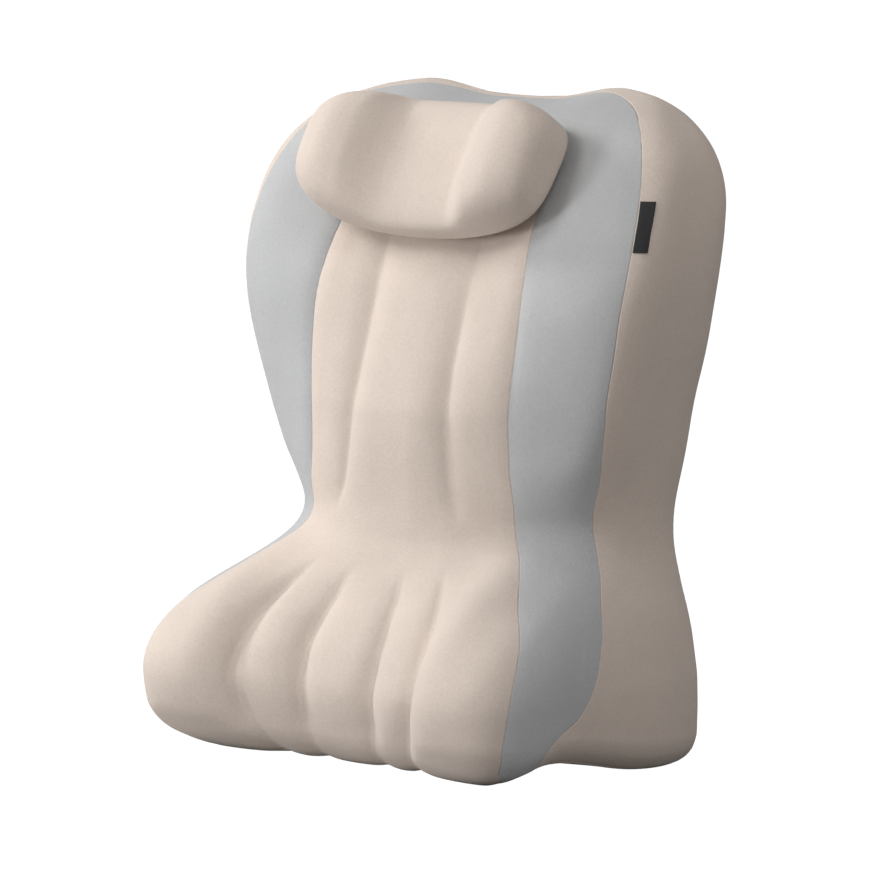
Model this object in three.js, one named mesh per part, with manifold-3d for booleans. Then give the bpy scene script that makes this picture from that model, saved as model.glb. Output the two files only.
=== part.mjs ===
// Back cushion for a desk chair: a tall slab with a lumbar bulge at its foot, in a zipped
// knit cover of five panels, with an elastic chair strap behind it and a neck pillow on
// hook-and-loop strips in front of it. Millimetres, +Z up, front towards -Y, +X to the
// sitter's left. The cushion stands on z = 0.
import * as THREE from 'three';
import Module from 'manifold-3d';
import { mergeVertices } from 'three/addons/utils/BufferGeometryUtils.js';

// ---------------------------------------------------------------- driving dimensions
const CROWN_Z = 622;            // dip in the middle of the top edge
const SHOULDER_Z = 505;         // height where the outline starts to close over the top
const SHOULDER_POWER = 3.4;     // superellipse power of the two top corners
const SHOULDER_RISE = 21;       // how far each shoulder stands above the middle dip
const SHOULDER_X = 135;         // where that rise is complete
const BASE_ROUND = 16;          // rounding of the bottom edge
const BACK_Y = 182;             // plane of the flat back
const SEAT_TILT = 34;           // degrees that the face behind the neck pillow leans back
const ARCH = { height: 15, y: -62, ahead: 26, behind: 70 };   // bottom edge, at the sides
const CLEAR = 0.3;              // air between touching solids

const COVER = 2.2;              // knit panel with its backing
const LINER = { outer: 2.8, inner: 3.6 };
const CORE_INSET = 4.2;
const COLUMNS = 28;
const CROWN_ROWS = 4;

const CUT_TOLERANCE = 0.25;
const SEAM_REACH = 5;           // half depth of the solids that cut the cover along a seam
const SEAM_STEPS = { side: 16, top: 8 };
const SEAM_TRIM = 0.005;        // share of a panel's width left open at each seam
const BASE_SHARE = 0.985;       // base panel outline, as a share of the flat base

const ZIP = { z: 78, half: 150, slot: 16, tape: 7, coil: 4.6 };
const STRAP = { z: 330, width: 38, thick: 1.4, fromAngle: 144, tailFrom: -70, tailTo: 62 };
const ADJUSTER = { x: 20, length: 26, rail: 4.5, bar: 5, barGap: 2.6 };
const LABEL = { low: 496, high: 541, fromSeam: 0.4, toSeam: 5.6, thick: 0.8 };

const PILLOW = {
  y: 35, z: 558.5, halfWidth: 154, halfHeight: 71, tilt: SEAT_TILT,
  front: 34, ear: 34, back: 18, seam: 5, hug: 16, columns: 20, ring: 24,
};
const GRIP = { x: 26, width: 28, hook: 50, loop: 100, thick: 1.5 };

// ---------------------------------------------------------------- section of the cushion
// Each profile lists [height, value] where the side or front outline changes its run.
const halfWidth = profile([
  [0, 242], [30, 253], [80, 253], [120, 242], [160, 222], [195, 203], [222, 198],
  [260, 205], [300, 218], [350, 232], [400, 248], [440, 257], [480, 264], [515, 266],
]);
const centreFront = profile([
  [0, -96], [30, -116], [70, -124], [105, -116], [138, -97], [166, -73], [192, -55],
  [217, -46], [250, -43], [290, -44], [330, -42], [362, -34], [413, -17], [450, -5],
  [490, 14], [500, 20.75], [580, 74.75], [590, 81.5], [610, 112], [622, 152],
]);
const wingFront = profile([
  [0, -120], [22, -155], [45, -172], [75, -176], [100, -170], [122, -155], [140, -136],
  [158, -109], [175, -79], [190, -58], [205, -46], [220, -41], [240, -37], [262, -24],
  [290, -11], [330, -9], [374, -8], [432, -4], [469, 3], [502, 13], [530, 26], [555, 42],
  [582, 64], [604, 96], [622, 152],
]);
const backFace = profile([
  [0, 175], [30, 184], [60, 186], [530, 186], [575, 181], [600, 172], [612, 163], [622, 152],
]);
const frontRoundness = profile([
  [0, 0.42], [120, 0.42], [155, 0.48], [190, 0.8], [217, 0.98], [240, 0.92], [275, 0.55],
  [310, 0.44], [400, 0.4], [530, 0.4], [600, 0.45], [622, 1],
]);
const backRoundness = profile([
  [0, 0.42], [120, 0.42], [170, 0.46], [217, 0.5], [290, 0.46], [400, 0.42], [530, 0.42],
  [600, 0.55], [622, 1],
]);
const frontFlare = profile([
  [0, 0.03], [120, 0.03], [170, 0], [217, -0.04], [280, 0], [350, 0.045], [450, 0.045],
  [530, 0.03], [600, 0.02], [622, 0],
]);

// Seams on each side: angle from the front centre, in degrees, against height. Above
// bendZ a seam curves over the top, steered by the angle and height of its bend's corner,
// and crosses the middle at crossing, its distance from the crown, negative in front of it.
const FRONT_SEAM = {
  angle: profile([
    [0, 43], [46, 49], [90, 50.8], [132, 50.2], [170, 47.5], [201, 46], [240, 41.5],
    [286, 33], [334, 29.6], [390, 28], [440, 26.9], [470, 26], [505, 24.8],
  ]),
  bendZ: 505,
  corner: [24.8, 570],
  crossing: -47,
};
const WING_SEAM = {
  angle: profile([
    [0, 51], [26, 59], [58, 71.5], [107, 80.5], [133, 81], [166, 78.5], [210, 75],
    [260, 67], [310, 56.5], [360, 52], [393, 51], [464, 49], [519, 48], [571, 46.3],
    [600, 46.5],
  ]),
  bendZ: 600,
  corner: [58, 616],
  crossing: -1.5,
};
const BACK_SEAM = {
  angle: profile([[0, 130], [560, 130]]),
  bendZ: 560,
  corner: [130, 597],
  crossing: 16,
};

function profile(points) {
  const slopes = points.map((point, i) => {
    const before = i ? slope(points[i - 1], point) : slope(point, points[1]);
    const last = i === points.length - 1;
    const after = last ? before : slope(point, points[i + 1]);
    return before * after <= 0 ? 0 : (2 * before * after) / (before + after);
  });
  return (height) => {
    const z = THREE.MathUtils.clamp(height, points[0][0], points.at(-1)[0]);
    const found = points.findIndex((point) => z <= point[0]);
    const i = Math.max(found, 1) - 1;
    const [z0, a] = points[i];
    const [z1, b] = points[i + 1];
    const h = z1 - z0;
    const t = (z - z0) / h;
    const rise = t * t * (3 - 2 * t);
    const ease = t * (1 - t);
    return a + (b - a) * rise + h * ease * (slopes[i] * (1 - t) - slopes[i + 1] * t);
  };
}

function slope(from, to) {
  return (to[1] - from[1]) / (to[0] - from[0]);
}

function outlineHalfWidth(z) {
  const over = Math.max((z - SHOULDER_Z) / (CROWN_Z - SHOULDER_Z), 0);
  const closing = Math.max(1 - over ** SHOULDER_POWER, 0) ** (1 / SHOULDER_POWER);
  return halfWidth(Math.min(z, SHOULDER_Z)) * closing;
}

function shoulderRise(x, z) {
  const out = THREE.MathUtils.smoothstep(Math.abs(x), 30, SHOULDER_X);
  const fall = 1 - 0.4 * THREE.MathUtils.smoothstep(Math.abs(x), 170, 260);
  return SHOULDER_RISE * out * fall * THREE.MathUtils.smoothstep(z, 515, CROWN_Z);
}

// Rise of the bottom edge between the bulge and the slab, gone again above it.
function archLift(y, z) {
  const reach = y < ARCH.y ? ARCH.ahead : ARCH.behind;
  const height = ARCH.height * Math.exp(-(((y - ARCH.y) / reach) ** 2));
  const low = THREE.MathUtils.smoothstep(z, 0, 12);
  return height * low * (1 - THREE.MathUtils.smoothstep(z, 12, 80));
}

// Point of the cover's outside: angle 0 is the front centre, 90 degrees the +X side.
function skinPoint(angle, z) {
  const sine = Math.sin(angle);
  const cosine = Math.cos(angle);
  const power = 2 / (cosine > 0 ? frontRoundness(z) : backRoundness(z));
  const reach = (Math.abs(sine) ** power + Math.abs(cosine) ** power) ** (-1 / power);
  const across = sine * reach;
  const along = cosine * reach;
  const low = Math.max(1 - z / BASE_ROUND, 0);
  const inset = BASE_ROUND * (1 - Math.sqrt(1 - low * low));
  const wing = THREE.MathUtils.smoothstep(Math.abs(across), 0.12, 0.88);
  const front = THREE.MathUtils.lerp(centreFront(z), wingFront(z), wing) + inset;
  const back = backFace(z) - inset;
  const middle = (wingFront(z) + backFace(z)) / 2;
  let y = along > 0 ? middle + (front - middle) * along : middle - (back - middle) * along;
  const forward = THREE.MathUtils.clamp((middle - y) / Math.max(back - middle, 1), -1, 1);
  y = Math.min(y, BACK_Y);
  const x = (outlineHalfWidth(z) - inset) * across * (1 + frontFlare(z) * forward);
  const lift = archLift(y, z) * THREE.MathUtils.smoothstep(Math.abs(across), 0.75, 1);
  return new THREE.Vector3(x, y, z + shoulderRise(x, z) + lift);
}

// Outward normal by central differences of the smooth surface.
function skinNormal(angle, z) {
  const step = 0.01;
  const low = Math.max(z - 0.5, 0);
  const high = Math.min(z + 0.5, CROWN_Z - 0.05);
  const around = skinPoint(angle + step, z).sub(skinPoint(angle - step, z));
  const up = skinPoint(angle, high).sub(skinPoint(angle, low));
  return around.cross(up).normalize();
}

function insetPoint(angle, z, depth) {
  return skinPoint(angle, z).addScaledVector(skinNormal(angle, z), -depth);
}

// Row heights: close together round the bottom edge, over the bulge and near the crown.
function rowHeights() {
  const rows = [1.2, 8, BASE_ROUND];
  for (let z = 44; z < 230; z += 22) rows.push(z);
  for (let z = 255; z < SHOULDER_Z; z += 50) rows.push(z);
  for (let i = 0; i < CROWN_ROWS; i += 1) {
    const turn = (i / CROWN_ROWS) * (Math.PI / 2);
    rows.push(SHOULDER_Z + (CROWN_Z - SHOULDER_Z) * Math.sin(turn) ** 0.8);
  }
  return rows;
}

// Closed body at a depth under the skin, with a flat bottom and a single crown point.
function bodyGeometry(depth) {
  const rows = rowHeights();
  const positions = [];
  rows.forEach((z, row) => {
    for (let column = 0; column < COLUMNS; column += 1) {
      const angle = (column / COLUMNS) * 2 * Math.PI;
      const point = insetPoint(angle, z, depth);
      if (row === 0) point.z = depth;
      positions.push(point.x, point.y, point.z);
    }
  });
  return closeRings(positions, COLUMNS, rows.length, [
    [0, (wingFront(0) + BACK_Y) / 2, depth],
    [0, wingFront(CROWN_Z), CROWN_Z - depth],
  ]);
}

// Joins stacked rings of points into one closed body with a fan at each end.
function closeRings(positions, columns, rows, ends) {
  const index = [];
  const first = columns * rows;
  ends.forEach((end) => positions.push(...end));
  for (let column = 0; column < columns; column += 1) {
    const next = (column + 1) % columns;
    const top = columns * (rows - 1);
    index.push(first, next, column, first + 1, top + column, top + next);
    for (let row = 0; row < rows - 1; row += 1) {
      const low = columns * row;
      const high = low + columns;
      index.push(low + column, low + next, high + next, low + column, high + next, high + column);
    }
  }
  return indexed(positions, index);
}

function indexed(positions, index) {
  const geometry = new THREE.BufferGeometry();
  geometry.setAttribute('position', new THREE.Float32BufferAttribute(positions, 3));
  geometry.setIndex(index);
  return geometry;
}

// ---------------------------------------------------------------- joining and cutting
const wasm = await Module();
wasm.setup();

function solid(geometry) {
  const bare = geometry.clone();
  bare.deleteAttribute('normal');
  bare.deleteAttribute('uv');
  const merged = mergeVertices(bare, 1e-4);
  return new wasm.Manifold(new wasm.Mesh({
    numProp: 3,
    vertProperties: new Float32Array(merged.attributes.position.array),
    triVerts: new Uint32Array(merged.index.array),
  }));
}

// Cutting a curved wall can leave crumbs at its edge: the panel is the biggest body, and
// edges shorter than the tolerance are closed up.
function largest(manifold) {
  const bodies = manifold.simplify(CUT_TOLERANCE).decompose();
  return bodies.reduce((best, body) => (body.volume() > best.volume() ? body : best));
}

function geometryOf(manifold) {
  const mesh = manifold.getMesh();
  return indexed(Array.from(mesh.vertProperties), Array.from(mesh.triVerts));
}

function box(sizeX, sizeY, sizeZ, x, y, z) {
  return new THREE.BoxGeometry(sizeX, sizeY, sizeZ).translate(x, y, z);
}

// ---------------------------------------------------------------- cover panels
// A place on the skin as a flat map seen from above the crown: x across, y behind it.
function toMap(angle, z) {
  const radius = CROWN_Z - z;
  return new THREE.Vector2(radius * Math.sin(angle), -radius * Math.cos(angle));
}

function fromMap(point) {
  return [Math.atan2(point.x, -point.y), CROWN_Z - point.length()];
}

// Place on a seam: step 0 is the foot of the +X side, the last step the middle of the top.
function seamPlace(seam, step) {
  if (step <= SEAM_STEPS.side) {
    const z = 2 + (seam.bendZ - 2) * (step / SEAM_STEPS.side);
    return [THREE.MathUtils.degToRad(seam.angle(z)), z];
  }
  const [cornerAngle, cornerZ] = seam.corner;
  const curve = new THREE.QuadraticBezierCurve(
    toMap(THREE.MathUtils.degToRad(seam.angle(seam.bendZ)), seam.bendZ),
    toMap(THREE.MathUtils.degToRad(cornerAngle), cornerZ),
    new THREE.Vector2(0, seam.crossing));
  return fromMap(curve.getPoint((step - SEAM_STEPS.side) / SEAM_STEPS.top));
}

// Region between two seams, up one side, over the top and down the other.
function bandZone(inner, outer, trimInner, trimOuter) {
  const steps = SEAM_STEPS.side + SEAM_STEPS.top;
  const place = (across, along) => {
    const position = (1 - Math.abs(2 * along - 1)) * steps;
    const share = THREE.MathUtils.lerp(trimInner, 1 - trimOuter, across);
    const [innerAngle, innerZ] = seamPlace(inner, position);
    const [outerAngle, outerZ] = seamPlace(outer, position);
    const turned = toMap(
      THREE.MathUtils.lerp(innerAngle, outerAngle, share),
      THREE.MathUtils.lerp(innerZ, outerZ, share));
    const straight = toMap(innerAngle, innerZ).lerp(toMap(outerAngle, outerZ), share);
    const overTop = THREE.MathUtils.smoothstep(innerZ, 420, 500);
    const point = turned.lerp(straight, overTop);
    if (along > 0.5) point.x = -point.x;
    return fromMap(point);
  };
  return solid(patch(5, 2 * steps, place, -SEAM_REACH, SEAM_REACH));
}

// Region inside one seam: the front panel's at angle 0, the back panel's at 180 degrees.
function insideZone(seam, centre, trim) {
  const rows = SEAM_STEPS.side + SEAM_STEPS.top - 1;
  const place = (across, up) => {
    const [angle, z] = seamPlace(seam, up * rows);
    const half = Math.abs(centre - angle) - trim;
    return [centre + (2 * across - 1) * half, z];
  };
  return solid(patch(8, rows, place, -SEAM_REACH, SEAM_REACH));
}

function baseOutline(share) {
  const middle = (wingFront(0) + BACK_Y) / 2;
  const outline = [];
  for (let column = 0; column < COLUMNS; column += 1) {
    const point = skinPoint((column / COLUMNS) * 2 * Math.PI, 1.2);
    outline.push([point.x * share, middle + (point.y - middle) * share]);
  }
  return outline;
}

function baseZone(share) {
  const shape = new THREE.Shape(baseOutline(share).map(([x, y]) => new THREE.Vector2(x, y)));
  const geometry = new THREE.ExtrudeGeometry(shape, { depth: 10, bevelEnabled: false });
  return solid(geometry.translate(0, 0, -5));
}

const outside = solid(bodyGeometry(0));
const shell = outside.subtract(solid(bodyGeometry(COVER)));
const zipSlot = solid(box(2 * ZIP.half + 8, 30, ZIP.slot, 0, BACK_Y, ZIP.z));
const walls = shell.subtract(baseZone(1));

const frontPanel = largest(walls.intersect(insideZone(FRONT_SEAM, 0, SEAM_TRIM)));
const surroundPanel = largest(walls
  .intersect(bandZone(FRONT_SEAM, WING_SEAM, SEAM_TRIM, SEAM_TRIM))
  .subtract(insideZone(FRONT_SEAM, 0, 0)));
const backPanel = largest(walls
  .intersect(insideZone(BACK_SEAM, Math.PI, SEAM_TRIM)).subtract(zipSlot));
const sideGusset = largest(walls
  .intersect(bandZone(WING_SEAM, BACK_SEAM, SEAM_TRIM, SEAM_TRIM))
  .subtract(insideZone(BACK_SEAM, Math.PI, 0)).subtract(bandZone(FRONT_SEAM, WING_SEAM, 0, 0)));
const basePanel = shell.intersect(baseZone(BASE_SHARE));

const linerOpening = solid(box(2 * ZIP.half, 40, 10, 0, BACK_Y, ZIP.z));
const liner = solid(bodyGeometry(LINER.outer)).subtract(solid(bodyGeometry(LINER.inner)))
  .subtract(linerOpening);

// ---------------------------------------------------------------- pieces on the cover
// A thin solid that follows the skin between two heights over it; place(across, up) gives
// the angle and z of each of its points.
function patch(columns, rows, place, near, far) {
  const positions = [];
  const index = [];
  const wide = columns + 1;
  const layer = wide * (rows + 1);
  [near, far].forEach((depth) => {
    for (let row = 0; row <= rows; row += 1) {
      for (let column = 0; column <= columns; column += 1) {
        const [angle, z] = place(column / columns, row / rows);
        const point = insetPoint(angle, z, -depth);
        positions.push(point.x, point.y, point.z);
      }
    }
  });
  const quad = (a, b, c, d) => index.push(a, b, c, a, c, d);
  for (let row = 0; row < rows; row += 1) {
    for (let column = 0; column < columns; column += 1) {
      const a = row * wide + column;
      quad(a, a + wide, a + wide + 1, a + 1);
      quad(layer + a, layer + a + 1, layer + a + wide + 1, layer + a + wide);
    }
  }
  const top = rows * wide;
  for (let column = 0; column < columns; column += 1) {
    quad(column, column + 1, layer + column + 1, layer + column);
    quad(top + column + 1, top + column, layer + top + column, layer + top + column + 1);
  }
  for (let row = 0; row < rows; row += 1) {
    const left = row * wide;
    const right = left + columns;
    quad(left + wide, left, layer + left, layer + left + wide);
    quad(right, right + wide, layer + right + wide, layer + right);
  }
  return indexed(positions, index);
}

function sideLabel() {
  const place = (across, up) => {
    const z = THREE.MathUtils.lerp(LABEL.low, LABEL.high, up);
    const fromSeam = THREE.MathUtils.lerp(LABEL.fromSeam, LABEL.toSeam, across);
    return [THREE.MathUtils.degToRad(WING_SEAM.angle(z) + fromSeam), z];
  };
  return patch(3, 4, place, 2 * CLEAR, 2 * CLEAR + LABEL.thick);
}

function chairStrap() {
  const start = THREE.MathUtils.degToRad(STRAP.fromAngle);
  const place = (along, up) => {
    const angle = start + along * 2 * (Math.PI - start);
    return [angle, STRAP.z + (up - 0.5) * STRAP.width];
  };
  return patch(26, 1, place, 2 * CLEAR, 2 * CLEAR + STRAP.thick);
}

function strapTail() {
  const length = STRAP.tailTo - STRAP.tailFrom;
  const y = BACK_Y + 2 * CLEAR + STRAP.thick + ADJUSTER.barGap + STRAP.thick / 2;
  return box(length, STRAP.thick, STRAP.width - 2, STRAP.tailFrom + length / 2, y, STRAP.z);
}

// Frame that both strap layers run through: two rails, a bar between the layers and two
// bars over them.
function strapAdjuster() {
  const { length, rail, bar, barGap, x } = ADJUSTER;
  const between = BACK_Y + 2 * CLEAR + STRAP.thick;
  const over = between + barGap + STRAP.thick + CLEAR;
  const height = over + 2 - (BACK_Y + CLEAR);
  const railZ = STRAP.width / 2 + CLEAR + rail / 2;
  const wide = STRAP.width + 2 * CLEAR + rail;
  const pieces = [
    ...[-1, 1].map((side) => box(length, height, rail, x,
      BACK_Y + CLEAR + height / 2, STRAP.z + side * railZ)),
    ...[-1, 1].map((side) => box(bar, 2, wide, x + side * (length - bar) / 2,
      over + 1, STRAP.z)),
    box(bar, barGap - 2 * CLEAR, wide, x, between + barGap / 2, STRAP.z),
  ];
  return geometryOf(wasm.Manifold.union(pieces.map(solid)));
}

// ---------------------------------------------------------------- zip fastener
function zipTape(side) {
  const z = ZIP.z + side * (ZIP.tape / 2 + CLEAR);
  return box(2 * ZIP.half + 6, 1.2, ZIP.tape, 0, BACK_Y - 1.2, z);
}

function zipCoil() {
  const shape = new THREE.Shape();
  const half = ZIP.coil / 2;
  shape.moveTo(-half, 0);
  shape.lineTo(half, 0);
  shape.lineTo(half * 0.8, 1.2);
  shape.lineTo(half * 0.4, 1.6);
  shape.lineTo(-half * 0.4, 1.6);
  shape.lineTo(-half * 0.8, 1.2);
  const depth = 2 * ZIP.half - 8;
  const geometry = new THREE.ExtrudeGeometry(shape, { depth, bevelEnabled: false });
  const axes = new THREE.Matrix4().makeBasis(
    new THREE.Vector3(0, 0, 1), new THREE.Vector3(0, 1, 0), new THREE.Vector3(-1, 0, 0));
  geometry.applyMatrix4(axes);
  return geometry.translate(ZIP.half - 4, BACK_Y - 0.3, ZIP.z);
}

function zipStop(side) {
  return box(2.4, 2, ZIP.coil + 1, side * (ZIP.half - 2.2), BACK_Y + 0.7, ZIP.z);
}

const SLIDER = { length: 12, width: 8.6, x: -ZIP.half + 18, pinY: BACK_Y + 5.4, pinRadius: 0.9 };
function zipSlider() {
  const top = BACK_Y + 1.6;
  const channel = ZIP.coil / 2 + CLEAR;
  const flange = (SLIDER.width / 2) - channel;
  const pieces = [box(SLIDER.length, 1.3, SLIDER.width, SLIDER.x, top + 0.65, ZIP.z)];
  [-1, 1].forEach((side) => {
    const z = ZIP.z + side * (channel + flange / 2);
    pieces.push(box(SLIDER.length, 1.7, flange, SLIDER.x, top - 0.75, z));
    const lugZ = ZIP.z + side * 3.4;
    pieces.push(box(3.6, 4, 1, SLIDER.x, SLIDER.pinY - 0.9, lugZ));
  });
  const pin = new THREE.CylinderGeometry(SLIDER.pinRadius, SLIDER.pinRadius, 7.2, 12);
  pieces.push(pin.rotateX(Math.PI / 2).translate(SLIDER.x, SLIDER.pinY, ZIP.z));
  return geometryOf(wasm.Manifold.union(pieces.map(solid)));
}

// Flat tab with an eye round the slider's pin; at rest it lies along the coil.
function zipPull() {
  const eye = SLIDER.pinRadius + 1.3;
  const shape = new THREE.Shape();
  const start = Math.asin(0.6 / eye);
  shape.absarc(0, 0, eye, start, 2 * Math.PI - start, false);
  shape.lineTo(25, -0.6);
  shape.lineTo(25, 0.6);
  const hole = new THREE.Path();
  hole.absarc(0, 0, SLIDER.pinRadius + CLEAR, 0, 2 * Math.PI, true);
  shape.holes.push(hole);
  const geometry = new THREE.ExtrudeGeometry(shape, {
    depth: 4.8, bevelEnabled: false, curveSegments: 7,
  });
  return geometry.translate(SLIDER.x, SLIDER.pinY, ZIP.z - 2.4);
}

// ---------------------------------------------------------------- neck pillow
const tilt = THREE.MathUtils.degToRad(PILLOW.tilt);
const pillowUp = new THREE.Vector3(0, Math.sin(tilt), Math.cos(tilt));
const pillowOut = new THREE.Vector3(0, -Math.cos(tilt), Math.sin(tilt));

// Local frame of the pillow: x across, up along the leaning face, out towards the neck.
function inPillow(x, up, out) {
  return new THREE.Vector3(x, PILLOW.y, PILLOW.z)
    .addScaledVector(pillowUp, up).addScaledVector(pillowOut, out);
}

function signedPower(value, power) {
  return Math.sign(value) * Math.abs(value) ** power;
}

// Section of the pillow at a share of its half-width, at an angle round the section.
function pillowPoint(share, angle, depth) {
  const turn = share * (Math.PI / 2);
  const x = PILLOW.halfWidth * signedPower(Math.sin(turn), 0.9);
  const size = Math.cos(turn) ** 0.45;
  const ear = Math.abs(x) / PILLOW.halfWidth;
  const swell = PILLOW.front + PILLOW.ear * THREE.MathUtils.smoothstep(ear, 0.24, 0.72);
  const up = (PILLOW.halfHeight * size - depth) * signedPower(Math.sin(angle), 0.68);
  const face = signedPower(Math.cos(angle), 0.6);
  const out = face > 0 ? (swell * size - depth + 0.08 * up) * face
    : (PILLOW.back * size - depth) * face;
  const inwards = 1 - depth / PILLOW.halfWidth;
  return inPillow(x * inwards, up, Math.max(out, depth - PILLOW.back + 2) + PILLOW.hug * ear ** 2);
}

function pillowGeometry(depth) {
  const positions = [];
  const rows = PILLOW.columns - 1;
  for (let row = 1; row <= rows; row += 1) {
    const share = (row / PILLOW.columns) * 2 - 1;
    for (let i = 0; i < PILLOW.ring; i += 1) {
      positions.push(...pillowPoint(share, (-i / PILLOW.ring) * 2 * Math.PI, depth).toArray());
    }
  }
  const ends = [-1, 1].map((end) => inPillow(
    end * (PILLOW.halfWidth - depth), 0, PILLOW.hug).toArray());
  return closeRings(positions, PILLOW.ring, rows, ends);
}

// Space behind the seam that joins the pillow's two covers.
function pillowBackZone(margin) {
  const geometry = new THREE.BoxGeometry(400, 200, 300);
  geometry.rotateX(-tilt);
  const centre = inPillow(0, 0, -100 - PILLOW.seam + margin);
  return solid(geometry.translate(...centre.toArray()));
}

const pillowShell = solid(pillowGeometry(0)).subtract(solid(pillowGeometry(COVER)));

// Hook strips on the pillow's back and longer loop strips on the cushion's leaning face.
function gripStrip(side, length, out, centreUp) {
  const geometry = new THREE.BoxGeometry(GRIP.width, GRIP.thick, length);
  geometry.rotateX(-tilt);
  const centre = inPillow(side * GRIP.x, centreUp, out);
  return geometry.translate(...centre.toArray());
}

// ---------------------------------------------------------------- materials
function material(color, roughness, metalness) {
  return new THREE.MeshStandardMaterial({ color, roughness, metalness });
}

const beigeKnit = () => material(0xd8c9bc, 0.85, 0);
const greyKnit = () => material(0xb9b9b8, 0.85, 0);
const foam = () => material(0xe9e2cf, 0.95, 0);
const lining = () => material(0xf2f0ea, 0.9, 0);
const blackWeb = () => material(0x222224, 0.8, 0);
const darkPlastic = () => material(0x2b2b2d, 0.45, 0);
const taupeTape = () => material(0xbcaa9b, 0.8, 0);
const nickel = () => material(0xb8b6b2, 0.3, 1);

// ---------------------------------------------------------------- assembly
const cushion = new THREE.Group();

function add(name, geometry, finish) {
  const mesh = new THREE.Mesh(geometry, finish);
  mesh.name = name;
  cushion.add(mesh);
}

add('foam_core', bodyGeometry(CORE_INSET), foam());
add('inner_liner', geometryOf(liner), lining());
add('front_panel', geometryOf(frontPanel), beigeKnit());
add('surround_panel', geometryOf(surroundPanel), greyKnit());
add('side_gusset', geometryOf(sideGusset), beigeKnit());
add('back_panel', geometryOf(backPanel), beigeKnit());
add('base_panel', geometryOf(basePanel), beigeKnit());
add('side_label', sideLabel(), blackWeb());

add('zip_tape_upper', zipTape(1), taupeTape());
add('zip_tape_lower', zipTape(-1), taupeTape());
add('zip_coil', zipCoil(), taupeTape());
add('zip_stop_left', zipStop(1), nickel());
add('zip_stop_right', zipStop(-1), nickel());
add('zip_slider', zipSlider(), nickel());
add('zip_pull', zipPull(), nickel());

add('chair_strap', chairStrap(), blackWeb());
add('strap_tail', strapTail(), blackWeb());
add('strap_adjuster', strapAdjuster(), darkPlastic());

add('pillow_core', pillowGeometry(CORE_INSET), foam());
add('pillow_front_cover', geometryOf(pillowShell.subtract(pillowBackZone(CLEAR))), beigeKnit());
add('pillow_back_cover', geometryOf(pillowShell.intersect(pillowBackZone(0))), beigeKnit());
const hookOut = -PILLOW.back + 2 - CLEAR - GRIP.thick / 2;
const loopOut = hookOut - GRIP.thick - CLEAR;
[[-1, 'right'], [1, 'left']].forEach(([side, word]) => {
  add(`hook_strip_${word}`, gripStrip(side, GRIP.hook, hookOut, 0), blackWeb());
  add(`loop_strip_${word}`, gripStrip(side, GRIP.loop, loopOut, 0), taupeTape());
});

export default cushion;
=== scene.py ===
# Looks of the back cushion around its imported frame: knit cover panels over a cloth-simulated
# body, neck pillow, zip, elastic strap and label, with camera, light and floor.
# Shapes are worked out in millimetres and become metres when a mesh is made.
import math

import bpy
import numpy as np
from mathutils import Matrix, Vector
from mathutils.kdtree import KDTree


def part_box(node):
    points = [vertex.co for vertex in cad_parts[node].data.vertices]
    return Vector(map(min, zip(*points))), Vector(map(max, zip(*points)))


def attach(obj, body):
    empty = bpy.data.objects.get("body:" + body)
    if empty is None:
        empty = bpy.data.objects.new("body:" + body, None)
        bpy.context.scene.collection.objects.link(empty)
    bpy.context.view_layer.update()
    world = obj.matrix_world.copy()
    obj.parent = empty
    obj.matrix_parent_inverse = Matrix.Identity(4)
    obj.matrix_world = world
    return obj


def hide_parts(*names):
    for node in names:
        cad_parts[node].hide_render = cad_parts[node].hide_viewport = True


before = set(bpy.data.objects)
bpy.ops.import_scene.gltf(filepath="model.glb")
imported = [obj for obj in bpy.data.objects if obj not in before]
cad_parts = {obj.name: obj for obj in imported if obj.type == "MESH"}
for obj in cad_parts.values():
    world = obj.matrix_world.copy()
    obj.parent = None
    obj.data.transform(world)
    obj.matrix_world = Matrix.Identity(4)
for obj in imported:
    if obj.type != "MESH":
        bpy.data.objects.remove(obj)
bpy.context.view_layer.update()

MM = 0.001

# ---------------------------------------------------------------- driving dimensions
CROWN_Z = 622            # dip in the middle of the top edge
SHOULDER_Z = 505         # height where the outline starts to close over the top
SHOULDER_POWER = 3.4     # superellipse power of the two top corners
SHOULDER_RISE = 21       # how far each shoulder stands above the middle dip
SHOULDER_X = 135         # where that rise is complete
SADDLE_RISE = 6          # lift of the dip itself, by the cloth that is pulled over it
BASE_ROUND = 16          # rounding of the bottom edge
BACK_Y = 182             # plane of the flat back
NEAR_BACK_Y = 150        # everything behind this belongs to the back
SEAT_TILT = 34           # degrees that the face behind the neck pillow leans back
ARCH = {"height": 22, "y": -62, "ahead": 40, "behind": 86}   # bottom edge, at the sides
COVER = 2.2              # thickness of a knit panel with its backing
FOOT_Z = 0.5             # height of the walls' lower edge
SEAM_ROUND = 1.3         # how far a panel's edge rolls under at a seam
INWARD_LIMIT = 0.8       # how far the blown-up cloth may lie inside its form
LINER = (5.4, 6.1)       # outside and inside of the liner, below the cover's outside
FOAM_BELOW = 7.4         # outside of the foam, below the cover's outside
PILLOW_FOAM_BELOW = 4.6
TAPE_ROUND = 0.6         # how far a tape's edge is rounded
STRAP = {"z": 330, "width": 38, "from": 144, "low": 0.6, "high": 2.0}
LABEL = {"low": 496, "high": 541, "from_seam": 0.3, "to_seam": 5.6}
ZIP_SLOT = {"beyond": 1, "half": 8, "stitch": 2.5}   # opening round the zip, and its stitches

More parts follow.
